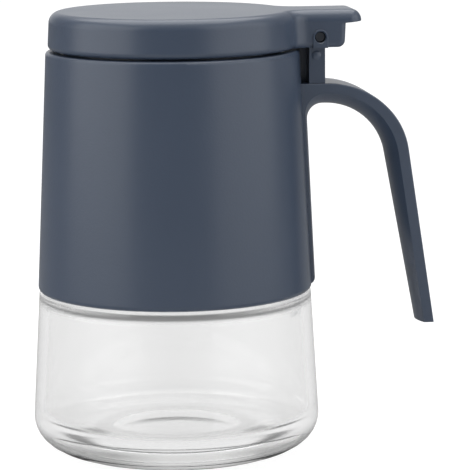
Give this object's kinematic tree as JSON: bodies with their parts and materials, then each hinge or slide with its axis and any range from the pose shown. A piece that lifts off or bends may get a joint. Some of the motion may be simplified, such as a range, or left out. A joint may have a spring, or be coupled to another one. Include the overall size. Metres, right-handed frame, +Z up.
{
  "type": "seasoning jar",
  "caption": "Clear glass table jar with a tapered plastic sleeve, a flat hinged lid with a thumb tab, and an open-ended curved handle.",
  "frame": {"origin": "on the jar's axis, at the surface the jar stands on", "axes": "+Z up, +X towards the handle, +Y across the handle"},
  "size_m": [0.1208, 0.0858, 0.1325],
  "materials": {
    "glass": "clear gloss",
    "sleeve_plastic": "matte",
    "handle_plastic": "matte",
    "lid_plastic": "matte",
    "pin_plastic": "matte"
  },
  "bodies": {
    "jar": {"glass_jar": "glass", "sleeve": "sleeve_plastic", "handle": "handle_plastic", "hinge_pin": "pin_plastic"},
    "lid": {"lid": "lid_plastic"}
  },
  "joints": [
    {"name": "lid_hinge", "type": "hinge", "parent": "jar", "child": "lid", "pos_m": [0.0429, 0, 0.1245], "axis": [0, 1, 0], "range_deg": [0, 88]}
  ]
}
